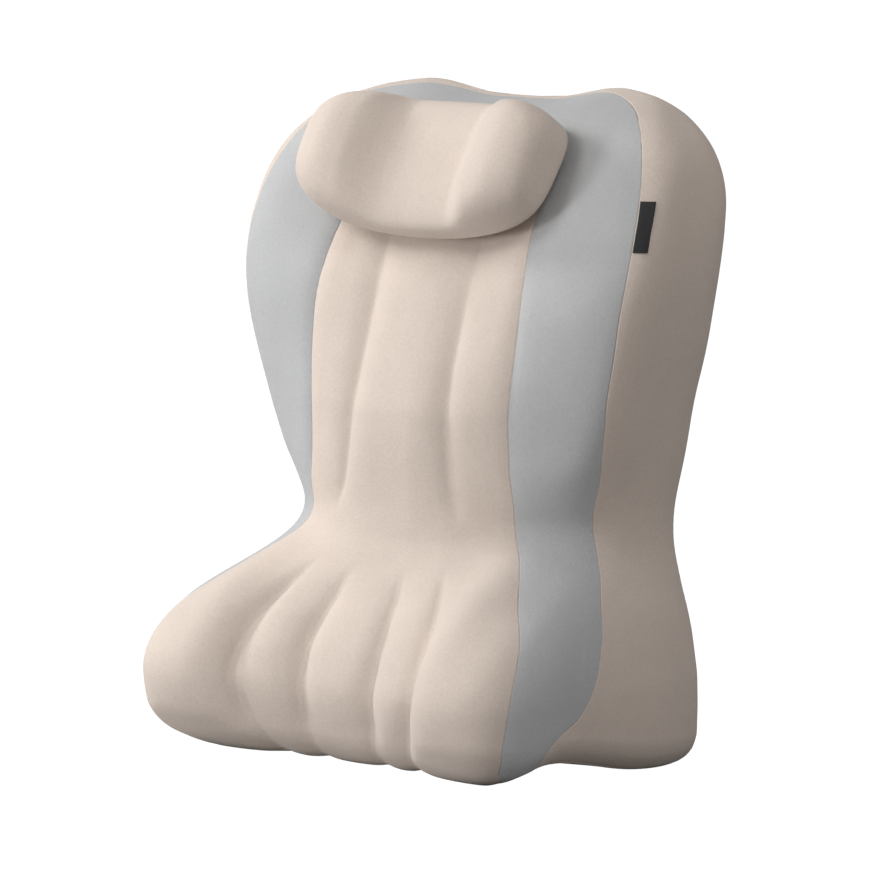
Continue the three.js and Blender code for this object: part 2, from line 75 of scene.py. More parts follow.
SPACING = 4.0            # mesh spacing of the panels
EDGE_STEPS = [0.12, 0.4, 0.8, 1.3, 1.9, 2.8, 4.2]   # rows close to a seam, from its line
PANEL_COLUMNS = {"front": 100, "surround": 44, "gusset": 84, "back": 120}
PILLOW_COLUMNS = 260
BASE_COLUMNS = 400
BASE_MIDDLE = np.array([0, 20, 0])
CROWN_MIDDLE = np.array([0, 152, CROWN_Z + SADDLE_RISE])
FAR = 99.0               # distance from a seam that counts as none
OVER_TOP = 0.998         # where a panel without a mirrored half ends, just before the crown


def smooth(value, low, high):
    t = np.clip((value - low) / (high - low), 0, 1)
    return t * t * (3 - 2 * t)


def profile(*points):
    """Smooth curve through (height, value) points, level at each peak and valley."""
    z, value = np.array(points, float).T
    slope = np.diff(value) / np.diff(z)
    before = np.append(slope[:1], slope)
    after = np.append(slope, slope[-1:])
    turning = before * after <= 0
    slopes = np.where(turning, 0, 2 * before * after / np.where(turning, 1, before + after))

    def at(height):
        h = np.clip(np.asarray(height, float), z[0], z[-1])
        i = np.clip(np.searchsorted(z, h) - 1, 0, len(z) - 2)
        step = z[i + 1] - z[i]
        t = (h - z[i]) / step
        eased = value[i] + (value[i + 1] - value[i]) * t * t * (3 - 2 * t)
        return eased + step * t * (1 - t) * (slopes[i] * (1 - t) - slopes[i + 1] * t)

    return at


def softened(curve):
    """The curve with its bends evened out, away from the base and the top."""
    def at(height):
        height = np.asarray(height, float)
        reach = 20 * smooth(height, 60, 120) * (1 - smooth(height, 480, 540))
        return sum(curve(height + reach * step) for step in (-1, -0.5, 0, 0.5, 1)) / 5

    return at


half_width = softened(profile(
    (0, 242), (30, 253), (80, 254), (120, 247), (160, 229), (195, 206), (222, 198),
    (260, 205), (300, 218), (350, 232), (400, 248), (440, 257), (480, 264), (515, 266)))
centre_front = profile(
    (0, -96), (30, -116), (70, -124), (105, -116), (138, -97), (166, -73), (192, -55),
    (217, -46), (250, -43), (290, -44), (330, -42), (362, -34), (413, -17), (450, -5),
    (490, 14), (500, 20.75), (580, 74.75), (590, 81.5), (610, 112), (622, 152))
wing_front = softened(profile(
    (0, -120), (22, -155), (45, -172), (75, -176), (100, -170), (122, -155), (140, -136),
    (158, -115), (175, -88), (190, -62), (205, -46), (220, -40), (240, -37), (262, -26),
    (290, -14), (330, -10), (374, -11), (432, -12), (469, -5), (502, 5), (530, 18), (555, 34),
    (582, 57), (604, 92), (622, 152)))
back_face = profile(
    (0, 175), (30, 184), (60, 186), (530, 186), (575, 181), (600, 172), (612, 163), (622, 152))
front_roundness = softened(profile(
    (0, 0.42), (120, 0.42), (155, 0.48), (190, 0.8), (217, 0.98), (240, 0.92), (275, 0.55),
    (310, 0.44), (400, 0.4), (530, 0.4), (600, 0.45), (622, 1)))
back_roundness = profile(
    (0, 0.42), (120, 0.42), (170, 0.46), (217, 0.5), (290, 0.46), (400, 0.42), (530, 0.42),
    (600, 0.55), (622, 1))
front_flare = softened(profile(
    (0, 0.03), (80, 0.04), (120, 0.05), (170, 0.02), (217, -0.04), (280, 0), (350, 0.045), (450, 0.045),
    (530, 0.03), (600, 0.02), (622, 0)))

# Seams: angle from the front centre against height. Above "bend" a seam curves over the top,
# steered by its "corner", and crosses the middle at "crossing", its distance from the crown.
FRONT_SEAM = {
    "angle": profile(
        (0, 43), (46, 49), (90, 50.8), (132, 50.2), (170, 47.5), (201, 46), (240, 41.5),
        (286, 33), (334, 29.6), (390, 28), (440, 26.9), (470, 26), (505, 24.8)),
    "bend": 505, "corner": (24.8, 570), "crossing": -47}
WING_SEAM = {
    "angle": profile(
        (0, 51), (26, 59), (58, 71.5), (107, 80.5), (133, 81), (166, 78.5), (210, 75),
        (260, 67), (310, 56.5), (360, 52), (393, 51.2), (464, 50), (519, 49), (571, 47.5),
        (600, 47.5)),
    "bend": 600, "corner": (58, 616), "crossing": -1.5}
BACK_SEAM = {
    "angle": profile((0, 130), (560, 130)),
    "bend": 560, "corner": (130, 597), "crossing": 16}
SIDE_SHARE = 2 / 3       # share of a seam's run that is on the side, below its bend

# Channels pressed into the front panel, on both sides of the middle.
CHANNELS = [
    {"x": profile((0, 40), (56, 44), (84, 45), (118, 47), (150, 42), (190, 33)),
     "depth": profile((0, 3), (22, 8), (45, 13), (120, 13.5), (155, 9), (188, 0)),
     "width": profile((0, 10), (120, 10), (190, 7))},
    {"x": profile((0, 90), (30, 100), (60, 109), (90, 115), (125, 114), (156, 105), (192, 82)),
     "depth": profile((0, 4), (22, 9), (45, 14.5), (120, 15), (158, 10), (192, 0)),
     "width": profile((0, 11), (120, 11), (190, 8))},
    {"x": profile((225, 82), (243, 78), (265, 72), (305, 67), (350, 62.5), (400, 60), (560, 60)),
     "depth": profile((228, 0), (262, 8), (330, 11), (440, 10), (490, 7), (548, 0)),
     "width": profile((228, 8), (300, 12), (400, 15), (480, 18))},
]

PILLOW = {
    "y": 35, "z": 558.5, "half_width": 154, "half_height": 71, "front": 30, "ear": 38,
    "back": 18, "seam": 5, "hug": 16}


def lerp(a, b, share):
    return a + (b - a) * share


def unit(vectors):
    return vectors / np.maximum(np.linalg.norm(vectors, axis=-1, keepdims=True), 1e-9)


# ---------------------------------------------------------------- surface of the cushion
def outline_half_width(z):
    over = np.maximum((z - SHOULDER_Z) / (CROWN_Z - SHOULDER_Z), 0)
    closing = np.maximum(1 - over ** SHOULDER_POWER, 0) ** (1 / SHOULDER_POWER)
    return half_width(np.minimum(z, SHOULDER_Z)) * closing


def shoulder_rise(x, z):
    out = smooth(np.abs(x), 30, SHOULDER_X)
    fall = 1 - 0.4 * smooth(np.abs(x), 170, 260)
    saddle = SADDLE_RISE * (1 - out) * smooth(z, 575, CROWN_Z)
    return SHOULDER_RISE * out * fall * smooth(z, 515, CROWN_Z) + saddle


def arch_lift(y, z):
    """Rise of the bottom edge between the bulge and the slab, gone again above it."""
    reach = np.where(y < ARCH["y"], ARCH["ahead"], ARCH["behind"])
    height = ARCH["height"] * np.exp(-(((y - ARCH["y"]) / reach) ** 2))
    return height * (1 - smooth(z, 12, 80))


def skin(angle, z):
    """Points of the cover's outside: angle 0 is the front centre, 90 degrees the +X side."""
    angle, z = np.broadcast_arrays(np.asarray(angle, float), np.asarray(z, float))
    sine, cosine = np.sin(angle), np.cos(angle)
    power = 2 / np.where(cosine > 0, front_roundness(z), back_roundness(z))
    reach = (np.abs(sine) ** power + np.abs(cosine) ** power) ** (-1 / power)
    across, along = sine * reach, cosine * reach
    low = np.maximum(1 - z / BASE_ROUND, 0)
    inset = BASE_ROUND * (1 - np.sqrt(1 - low * low))
    wing = smooth(np.abs(across), 0.12, 0.88)
    front = lerp(centre_front(z), wing_front(z), wing) + inset
    back = back_face(z) - inset
    middle = (wing_front(z) + back_face(z)) / 2
    y = np.where(along > 0, middle + (front - middle) * along, middle - (back - middle) * along)
    forward = np.clip((middle - y) / np.maximum(back - middle, 1), -1, 1)
    y = np.minimum(y, BACK_Y)
    x = (outline_half_width(z) - inset) * across * (1 + front_flare(z) * forward)
    lift = arch_lift(y, z) * smooth(np.abs(across), 0.75, 1)
    return np.stack([x, y, z + shoulder_rise(x, z) + lift], -1)


def skin_normal(angle, z):
    step = 0.01
    low, high = np.maximum(z - 0.5, 0), np.minimum(z + 0.5, CROWN_Z - 0.05)
    around = skin(angle + step, z) - skin(angle - step, z)
    return unit(np.cross(around, skin(angle, high) - skin(angle, low)))


def seam_valley():
    """The valley that the seam round the front panel draws the cover into."""
    z = np.arange(0, 520, 15.0)
    x = skin(np.radians(FRONT_SEAM["angle"](z)), z)[:, 0]
    return {"x": profile(*zip(z, x)),
            "depth": profile((0, 1), (40, 1.5), (240, 1.5), (290, 4.5), (460, 4.5), (535, 0)),
            "width": profile((0, 8), (520, 8))}


def channel_depth(z, points):
    """How deep the channels and the seam's valley lie at each point of the front."""
    depth = np.zeros(np.shape(z))
    x = np.abs(points[..., 0])
    for channel in CHANNELS + [SEAM_VALLEY]:
        away = np.sqrt(((x - channel["x"](z)) / channel["width"](z)) ** 2 + 0.03) - 0.17
        depth = np.maximum(depth, channel["depth"](z) * np.exp(-away))
    return depth


SEAM_VALLEY = seam_valley()
LOBE_X = profile((30, 150), (90, 157), (150, 157), (190, 148), (240, 138))
LOBE_WIDTH = 30
LOBE_CROWN = profile((25, 0), (60, 4), (120, 6), (160, 8), (190, 6), (215, 2), (235, 0))


def lobe_crown(z, points):
    """How far the outer lobes of the bulge stand out between their channel and their seam."""
    away = (np.abs(points[..., 0]) - LOBE_X(z)) / LOBE_WIDTH
    return LOBE_CROWN(z) * np.exp(-away ** 2)


def body(angle, z):
    """The cover with its channels, before the cloth swells between them."""
    angle, z = np.broadcast_arrays(np.asarray(angle, float), np.asarray(z, float))
    points = skin(angle, z)
    on_front = np.cos(angle) > 0.3
    raised = lobe_crown(z, points) - channel_depth(z, points)
    return points + skin_normal(angle, z) * np.where(on_front, raised, 0)[..., None]


# ---------------------------------------------------------------- meshes
def new_object(name, points, faces, weave=None):
    """Mesh object from points in millimetres; weave holds each point's place on the cloth."""
    mesh = bpy.data.meshes.new(name)
    mesh.from_pydata((np.asarray(points) * MM).tolist(), [], [list(face) for face in faces])
    mesh.update()
    if weave is not None:
        place_weave(mesh, weave)
    made = bpy.data.objects.new(name, mesh)
    bpy.context.scene.collection.objects.link(made)
    return made


def place_weave(mesh, weave):
    attribute = mesh.attributes.new("weave", "FLOAT_VECTOR", "POINT")
    flat = np.zeros((len(mesh.vertices), 3), np.float32)
    flat[:, :2] = weave
    attribute.data.foreach_set("vector", flat.ravel())


def shade_smooth(made):
    made.data.polygons.foreach_set("use_smooth", [True] * len(made.data.polygons))
    made.data.update()


def points_of(mesh):
    flat = np.zeros(len(mesh.vertices) * 3)
    mesh.vertices.foreach_get("co", flat)
    return flat.reshape(-1, 3) / MM


def normals_of(mesh):
    flat = np.zeros(len(mesh.vertices) * 3)
    mesh.vertex_normals.foreach_get("vector", flat)
    return flat.reshape(-1, 3)


def final_mesh(made):
    """The object's mesh with its modifiers applied, as a new mesh."""
    graph = bpy.context.evaluated_depsgraph_get()
    return bpy.data.meshes.new_from_object(made.evaluated_get(graph))


def apply_modifiers(made):
    mesh = final_mesh(made)
    made.modifiers.clear()
    made.data = mesh


def closed_rings(rings, ends):
    """Vertices and faces of stacked rings [row, column, xyz] with a fan at each end."""
    rows, columns, _ = rings.shape
    points = np.concatenate([rings.reshape(-1, 3), np.asarray(ends, float)])
    first = rows * columns
    faces = []
    for column in range(columns):
        after = (column + 1) % columns
        top = columns * (rows - 1)
        faces.append([first, after, column])
        faces.append([first + 1, top + column, top + after])
        for row in range(rows - 1):
            low, high = columns * row, columns * (row + 1)
            faces.append([low + column, low + after, high + after, high + column])
    return points, faces


# ---------------------------------------------------------------- cloth simulation
class Swelling:
    """How far the simulated cloth moved, at any place near it."""

    def __init__(self, points, moves, reach):
        self.moves = moves
        self.reach = reach
        self.tree = KDTree(len(points))
        for i, point in enumerate(points):
            self.tree.insert(point, i)
        self.tree.balance()

    def at(self, points):
        flat = np.asarray(points).reshape(-1, 3)
        moved = np.zeros_like(flat)
        for i, point in enumerate(flat):
            near = self.tree.find_n(point, 8)
            weight = np.exp(-(np.array([n[2] for n in near]) / self.reach) ** 2) + 1e-9
            moved[i] = weight @ self.moves[[n[1] for n in near]] / weight.sum()
        return moved.reshape(np.shape(points))


def distance_to(points, lines):
    """Distance of each point from the nearest of the lines' points."""
    tree = KDTree(len(lines))
    for i, place in enumerate(lines):
        tree.insert(place, i)
    tree.balance()
    flat = np.asarray(points).reshape(-1, 3)
    return np.array([tree.find(p)[2] for p in flat]).reshape(np.shape(points)[:-1])


class Form:
    """A closed soft form as an even mesh of small squares, to be blown up as cloth."""

    def __init__(self, name, points, faces, voxel, settle):
        self.made = new_object(name, points, faces)
        remesh = self.made.modifiers.new("remesh", "REMESH")
        remesh.mode = "VOXEL"
        remesh.voxel_size = voxel * MM
        relax = self.made.modifiers.new("relax", "SMOOTH")
        relax.iterations = settle
        apply_modifiers(self.made)
        mesh = self.made.data
        self.rest = points_of(mesh)
        self.normals = normals_of(mesh)
        self.faces = np.array([list(face.vertices) for face in mesh.polygons if len(face.vertices) == 4])
        pairs = np.zeros(2 * len(mesh.edges), int)
        mesh.edges.foreach_get("vertices", pairs)
        self.edges = pairs.reshape(-1, 2)
        self.move = self.rest * 0

    def spread(self, values, times):
        """Evens the values out between neighbours on the mesh."""
        count = np.bincount(self.edges.ravel(), minlength=len(values))[:, None]
        for _ in range(times):
            total = np.zeros_like(values)
            np.add.at(total, self.edges[:, 0], values[self.edges[:, 1]])
            np.add.at(total, self.edges[:, 1], values[self.edges[:, 0]])
            values = 0.5 * values + 0.5 * total / np.maximum(count, 1)
        return values

    def inflate(self, held, shrink, cap, pressure, frames, even):
        """Shrinks the form, blows it up where it isn't held, and keeps how far it moved."""
        start = self.rest - self.normals * shrink[:, None]
        swollen = self.simulated(start, held, pressure, frames)
        move = swollen - start
        length = np.linalg.norm(move, axis=1, keepdims=True)
        move = start + move / np.maximum(length, 1e-6) * cap * np.tanh(length / cap) - self.rest
        outward = (move * self.normals).sum(1)
        move += self.normals * np.maximum(-INWARD_LIMIT - outward, 0)[:, None]
        self.move = self.spread(move, even)
        bpy.data.objects.remove(self.made)
        return Swelling(self.rest, self.move, 6)

    def simulated(self, start, held, pressure, frames):
        self.made.data.vertices.foreach_set("co", (start * MM).ravel())
        self.made.data.update()
        group = self.made.vertex_groups.new(name="held")
        for i, weight in enumerate(held):
            group.add([i], float(weight), "REPLACE")
        cloth = self.made.modifiers.new("cloth", "CLOTH")
        settings = cloth.settings
        settings.quality = 4
        settings.mass = 0.3
        settings.use_pressure = True
        settings.uniform_pressure_force = pressure
        settings.vertex_group_mass = "held"
        settings.effector_weights.gravity = 0
        cloth.point_cache.frame_start = 1
        cloth.point_cache.frame_end = frames
        for step in range(1, frames + 1):
            bpy.context.scene.frame_set(step)
        swollen = points_of(final_mesh(self.made))
        bpy.context.scene.frame_set(1)
        return swollen

    def under_layer(self, name, outside, inside, keep=None):
        """Closed shell, or a solid where inside is None, below the blown-up surface."""
        faces = self.faces if keep is None else self.faces[keep]
        points = self.rest + self.move
        if inside is None:
            normals = vertex_normals(points, faces)
            made = new_object(name, points - normals * outside, faces)
            shade_smooth(made)
            return made
        flat = np.zeros((len(points), 2))
        full = np.ones(len(points))
        return shell_object(name, points, faces, -outside * full, -inside * full, flat)


# ---------------------------------------------------------------- seams and panels
def to_map(angle, z):
    radius = CROWN_Z - z
    return np.stack([radius * np.sin(angle), -radius * np.cos(angle)], -1)


def from_map(place):
    return np.arctan2(place[..., 0], -place[..., 1]), CROWN_Z - np.hypot(place[..., 0], place[..., 1])


def seam_place(seam, t):
    """Angle and height on a seam: t is 0 at the +X side's foot and 1 at the top's middle."""
    t = np.asarray(t, float)
    z = FOOT_Z + (seam["bend"] - FOOT_Z) * np.minimum(t / SIDE_SHARE, 1)
    angle = np.radians(seam["angle"](z))
    start = to_map(np.radians(seam["angle"](seam["bend"])), seam["bend"])
    corner = to_map(math.radians(seam["corner"][0]), seam["corner"][1])
    end = np.array([0, seam["crossing"]])
    share = (np.maximum(t - SIDE_SHARE, 0) / (1 - SIDE_SHARE))[..., None]
    over = lerp(lerp(start, corner, share), lerp(corner, end, share), share)
    over_angle, over_z = from_map(over)
    on_side = t <= SIDE_SHARE
    return np.where(on_side, angle, over_angle), np.where(on_side, z, over_z)


def band_place(inner, outer):
    """Place between two seams; share runs from the inner seam to the outer one."""
    def place(share, t):
        inner_angle, inner_z = seam_place(inner, t)
        outer_angle, outer_z = seam_place(outer, t)
        turned = to_map(lerp(inner_angle, outer_angle, share), lerp(inner_z, outer_z, share))
        share = np.asarray(share)[..., None]
        straight = lerp(to_map(inner_angle, inner_z), to_map(outer_angle, outer_z), share)
        over_top = smooth(inner_z, 420, 500)[..., None]
        return from_map(lerp(turned, straight, over_top))
    return place


def inside_place(seam, centre):
    """Place inside one seam; share runs from its -X side to its +X side as seen from ahead."""
    def place(share, t):
        angle, z = seam_place(seam, t)
        half = np.abs(centre - angle)
        return centre + (2 * share - 1) * half, z
    return place


def run_lengths(place, t):
    """Mean distance run along a panel up to each t."""
    total = 0
    for share in (0, 0.25, 0.5, 0.75, 1):
        line = skin(*place(np.full(len(t), share), t))
        total = total + np.append(0, np.cumsum(np.linalg.norm(np.diff(line, axis=0), axis=1)))
    return total / 5


def row_places(place, last):
    """Places along a panel: close rows at its foot, then even ones up to the last."""
    dense = np.append(np.linspace(0, SIDE_SHARE, 500)[:-1], lerp(SIDE_SHARE, last, np.linspace(0, 1, 900)))
    length = run_lengths(place, dense)
    even = np.linspace(EDGE_STEPS[-1], length[-1], int(length[-1] / SPACING))
    return np.unique(np.interp(np.concatenate([[0], EDGE_STEPS, even[1:]]), length, dense))


def width_at(place, t):
    shares = np.linspace(0, 1, 33)
    lines = skin(*place(shares[None, :], t[:, None]))
    return np.linalg.norm(np.diff(lines, axis=1), axis=2).sum(1)


def column_shares(width, columns):
    """Shares across a panel for each row: close columns at both seams, even ones between."""
    k = len(EDGE_STEPS)
    even = np.linspace(0, 1, columns - 2 * k)[None, :]
    edge = np.array(EDGE_STEPS)[None, :]
    shares = []
    for row_width in width:
        near = np.minimum(edge[0] / row_width, np.arange(1, k + 1) / columns)
        middle = lerp(near[-1], 1 - near[-1], even[0])[1:-1]
        shares.append(np.concatenate([[0], near, middle, 1 - near[::-1], [1]]))
    return np.array(shares)


def rolled(distance):
    """How deep a panel's edge rolls under, from its distance to the seam line."""
    near = np.clip(1 - distance / SEAM_ROUND, 0, 1)
    return SEAM_ROUND * (1 - np.sqrt(1 - near * near))


def pucker(away, points):
    """Small dimples that the stitches draw into the cloth beside a seam."""
    beat = points @ np.array([0.25, 0.35, 0.9]) * (2 * math.pi / 7.5)
    return 0.22 * (0.5 + 0.5 * np.sin(beat)) * np.exp(-((away - 3) / 3.5) ** 2)


def grid_faces(rows, columns, keep=None):
    r, c = np.meshgrid(np.arange(rows - 1), np.arange(columns - 1), indexing="ij")
    first = r * columns + c
    faces = np.stack([first, first + 1, first + columns + 1, first + columns], -1)
    return faces.reshape(-1, 4) if keep is None else faces[keep]


def face_normals(points, faces):
    a, b, c, d = (points[faces[:, i]] for i in range(4))
    return np.cross(c - a, d - b)


def facing(points, faces, outward):
    """The faces, turned if need be so that the middle one looks along outward."""
    middle = faces[len(faces) // 3]
    away = face_normals(points, middle[None])[0] @ outward(points[middle].mean(0))
    return faces if away > 0 else faces[:, ::-1]


def from_centre(point):
    return point - np.array([0, 60, point[2]])


def vertex_normals(points, faces):
    normals = np.zeros_like(points)
    weights = face_normals(points, faces)
    for i in range(4):
        np.add.at(normals, faces[:, i], weights)
    return unit(normals)


def rim_edges(faces):
    """Directed edges that only one face uses."""
    edges = np.concatenate([np.stack([faces[:, i], faces[:, (i + 1) % 4]], 1) for i in range(4)])
    known = set(map(tuple, edges.tolist()))
    return [(a, b) for a, b in known if (b, a) not in known]


def shell_object(name, points, faces, outside, inside, weave):
    """Closed shell between two offsets from a surface; the offsets run outwards."""
    normals = vertex_normals(points, faces)
    count = len(points)
    both = np.concatenate([points + normals * outside[:, None], points + normals * inside[:, None]])
    rim = [(b, a, a + count, b + count) for a, b in sorted(rim_edges(faces))]
    quads = faces.tolist() + (faces[:, ::-1] + count).tolist() + rim
    used = np.unique(np.array(quads).ravel())
    renumber = np.full(2 * count, -1)
    renumber[used] = np.arange(len(used))
    quads = renumber[np.array(quads)]
    made = new_object(name, both[used], quads, np.concatenate([weave, weave])[used])
    shade_smooth(made)
    return made


def run_along(grid, axis):
    steps = np.linalg.norm(np.diff(grid, axis=axis), axis=2)
    pad = [(0, 0), (0, 0)]
    pad[axis] = (1, 0)
    return np.pad(np.cumsum(steps, axis=axis), pad)


def seam_lines():
    """Points every millimetre or so along all seams, both sides, and round the foot."""
    t = np.append(np.linspace(0, SIDE_SHARE, 700), lerp(SIDE_SHARE, 1, np.linspace(0, 1, 1500)))
    lines = [body(side * angle, z) for seam in (FRONT_SEAM, WING_SEAM, BACK_SEAM)
             for angle, z in [seam_place(seam, t)] for side in (1, -1)]
    lines.append(body(np.linspace(-math.pi, math.pi, 1500), np.full(1500, FOOT_Z)))
    return np.concatenate(lines)


def channel_lines():
    """Points along the bottom of every channel."""
    turn = np.linspace(0, 1.05, 400)
    lines = []
    for channel in CHANNELS:
        for z in np.arange(2, 550, 2.0):
            if channel["depth"](z) < 1.5:
                continue
            angle = np.interp(channel["x"](z), skin(turn, np.full(400, z))[:, 0], turn)
            lines += [body(side * angle, z) for side in (1, -1)]
    return np.array(lines)


def cushion_form():
    """The whole cover as one closed form."""
    heights = np.concatenate([[0.2, 1.5, 4, 8, 13], np.arange(20, SHOULDER_Z, 5.0)])
    turn = np.linspace(0, math.pi / 2, 40)[:-1]
    crown = SHOULDER_Z + (CROWN_Z - SHOULDER_Z) * np.sin(turn) ** 0.8
    z = np.concatenate([heights, crown])[:, None]
    angle = np.linspace(0, 2 * math.pi, 360, endpoint=False)[None, :]
    solid = closed_rings(body(angle, z), [BASE_MIDDLE, CROWN_MIDDLE])
    return Form("cushion_form", *solid, voxel=6, settle=2)


def cushion_swelling(form):
    """Blows the cover up between its seams and channels; back, base and grip strips stay."""
    x, y, height = form.rest.T
    away = distance_to(form.rest, SEAM_LINES)
    in_channel = distance_to(form.rest, channel_lines())
    grip = (1 - smooth(np.abs(x), 50, 80)) * smooth(height, 470, 500) * (y < 120)
    resting = np.maximum.reduce([smooth(y, 160, 176), 1 - smooth(height, 3, 16), grip])
    held = np.maximum.reduce([resting, 1 - smooth(away, 3, 10), 1 - smooth(in_channel, 3, 9)])
    shrink = (1 - resting) * lerp(1.0, 4.0, smooth(away, 3, 45)) * smooth(in_channel, 0, 20)
    return form.inflate(held, shrink, cap=8, pressure=4.0, frames=20, even=3)


def panel(name, place, columns, last=1.0, mirrored=True, hole=None):
    """A cover panel as a closed shell: two mirrored halves joined over the top, or one
    piece across. hole is the opening round the zip, as zip_hole gives it."""
    t = row_places(place, last)
    share = column_shares(width_at(place, t), columns)
    angle, z = np.broadcast_arrays(*place(share, t[:, None]))
    if mirrored:
        angle = np.concatenate([angle, -angle[-2::-1]])
        z = np.concatenate([z, z[-2::-1]])
    grid = body(angle, z)
    moved = grid + SWELLING.at(grid)
    rows, count = z.shape
    weave = np.stack([run_along(moved, 1), run_along(moved, 0)], -1).reshape(-1, 2)
    away = distance_to(grid, SEAM_LINES)
    keep = None
    if hole:
        x, height = moved[..., 0], moved[..., 2]
        out_x, out_z = np.abs(x) - hole["x"], np.abs(height - hole["z"]) - hole["half"]
        edge = np.hypot(np.maximum(out_x, 0), np.maximum(out_z, 0))
        away = np.minimum(away, edge)
        inside = (out_x < 0.05) & (out_z < 0.05)
        keep = ~(inside[:-1, :-1] & inside[1:, :-1] & inside[:-1, 1:] & inside[1:, 1:])
    points = moved.reshape(-1, 3)
    faces = facing(points, grid_faces(rows, count, keep), from_centre)
    sunk = rolled(away.ravel()) + pucker(away.ravel(), points)
    return shell_object(name, points, faces, -sunk, np.full(len(points), -COVER), weave)


def box_of(node):
    low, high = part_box(node)
    return np.array(low) / MM, np.array(high) / MM


def zip_hole():
    """Half-length, middle height and half-height of the back panel's opening."""
    coil_low, coil_high = box_of("zip_coil")
    half_length = box_of("zip_tape_upper")[1][0] + ZIP_SLOT["beyond"]
    return {"x": half_length, "z": (coil_low[2] + coil_high[2]) / 2, "half": ZIP_SLOT["half"]}


SEAM_LINES = seam_lines()
CUSHION = cushion_form()
SWELLING = cushion_swelling(CUSHION)
ZIP_HOLE = zip_hole()

front_panel = panel(
    "cover_front", inside_place(FRONT_SEAM, 0), PANEL_COLUMNS["front"], OVER_TOP, False)
surround_panel = panel(
    "cover_surround", band_place(FRONT_SEAM, WING_SEAM), PANEL_COLUMNS["surround"])
side_gusset = panel("cover_gusset", band_place(WING_SEAM, BACK_SEAM), PANEL_COLUMNS["gusset"])
back_panel = panel(
    "cover_back", inside_place(BACK_SEAM, math.pi), PANEL_COLUMNS["back"], OVER_TOP, False, ZIP_HOLE)


def ringed_faces(rows, columns):
    """Squares of a disc made of rings, the last of them closed onto one more point."""
    faces = []
    for row in range(rows - 1):
        low, high = row * columns, (row + 1) * columns
        for column in range(columns):
            after = (column + 1) % columns
            faces.append([low + column, low + after, high + after, high + column])
    last = (rows - 1) * columns
    for column in range(0, columns, 2):
        ahead = (column + 2) % columns
        faces.append([rows * columns, last + column, last + column + 1, last + ahead])
    return np.array(faces)


def downwards(_):
    return np.array([0, 0, -1])


def base_panel():
    """Underside: rings from the foot of the walls, which is lifted at the arches."""
    angle = np.linspace(-math.pi, math.pi, BASE_COLUMNS, endpoint=False)
    outline = body(angle, np.full(BASE_COLUMNS, FOOT_Z))
    reach = np.linalg.norm((outline - BASE_MIDDLE)[:, :2], axis=1)
    inward = np.concatenate([[0.12, 0.4, 0.8, 1.3, 1.9, 3, 5], np.geomspace(8, 200, 32)])
    rings = []
    for step in inward:
        share = np.minimum(step / reach, step / inward[-1] * 0.98)
        ring = lerp(outline, BASE_MIDDLE, share[:, None])
        ring[:, 2] = (outline[:, 2] - FOOT_Z) * (1 - smooth(step, 0, 190))
        rings.append(ring)
    points = np.concatenate([np.concatenate(rings), [BASE_MIDDLE]])
    faces = facing(points, ringed_faces(len(inward), BASE_COLUMNS), downwards)
    sunk = rolled(np.append(np.repeat(inward, BASE_COLUMNS), FAR))
    return shell_object("cover_base", points, faces, -sunk, np.full(len(points), -COVER),
                        points[:, :2])


base_piece = base_panel()


# ---------------------------------------------------------------- inside the cover
def zip_opening_faces(form):
    """Faces of the form that stay when the zip's slot is left open."""
    centre = form.rest[form.faces].mean(1)
    off = np.abs(centre[:, 2] - ZIP_HOLE["z"])
    in_slot = (np.abs(centre[:, 0]) < ZIP_HOLE["x"]) & (off < ZIP_HOLE["half"])
    return ~(in_slot & (centre[:, 1] > NEAR_BACK_Y))


foam_piece = CUSHION.under_layer("foam_body", FOAM_BELOW, None)
liner_piece = CUSHION.under_layer("liner_bag", *LINER, zip_opening_faces(CUSHION))


# ---------------------------------------------------------------- neck pillow
TILT = math.radians(SEAT_TILT)
PILLOW_UP = np.array([0, math.sin(TILT), math.cos(TILT)])
PILLOW_OUT = np.array([0, -math.cos(TILT), math.sin(TILT)])
PILLOW_MIDDLE = np.array([0, PILLOW["y"], PILLOW["z"]])
PILLOW_EDGE_STEPS = [0.05, *EDGE_STEPS]


def signed_power(value, power):
    return np.sign(value) * np.abs(value) ** power


def pillow_local(theta, phi):
    """x, up and out on the pillow's surface, at a turn theta from the front's middle
    towards phi round the outline."""
    turn = np.arcsin(np.clip(np.sin(theta) * np.cos(phi), -1, 1))
    angle = np.arctan2(np.sin(theta) * np.sin(phi), np.cos(theta))
    x = PILLOW["half_width"] * signed_power(np.sin(turn), 0.9)
    size = np.cos(turn) ** 0.45
    ear = np.abs(x) / PILLOW["half_width"]
    ear_share = 0.6 * smooth(ear, 0.28, 0.56) + 0.4 * smooth(ear, 0.38, 0.78)
    swell = PILLOW["front"] + PILLOW["ear"] * ear_share
    up = PILLOW["half_height"] * size * signed_power(np.sin(angle), 0.68)
    face = signed_power(np.cos(angle), 0.6)
    out = np.where(face > 0, (swell * size + 0.08 * up) * face, PILLOW["back"] * size * face)
    out = np.maximum(out, 2 - PILLOW["back"]) + PILLOW["hug"] * ear ** 2
    return x, up, out


def pillow_at(theta, phi):
    x, up, out = pillow_local(theta, phi)
    point = PILLOW_MIDDLE + up[..., None] * PILLOW_UP + out[..., None] * PILLOW_OUT
    point[..., 0] = x
    return point


def pillow_meridians():
    """For each way round the pillow: dense turns, run lengths and where the seam crosses."""
    phi = np.linspace(0, 2 * math.pi, PILLOW_COLUMNS, endpoint=False)
    theta = np.linspace(0.002, math.pi - 0.002, 1600)
    run = run_along(pillow_at(theta[:, None], phi[None, :]), 0)
    out = pillow_local(theta[:, None], phi[None, :])[2]
    beyond = (theta[:, None] > math.pi / 2) & (out < -PILLOW["seam"])
    first = np.argmax(beyond, axis=0)
    return phi, theta, run, first


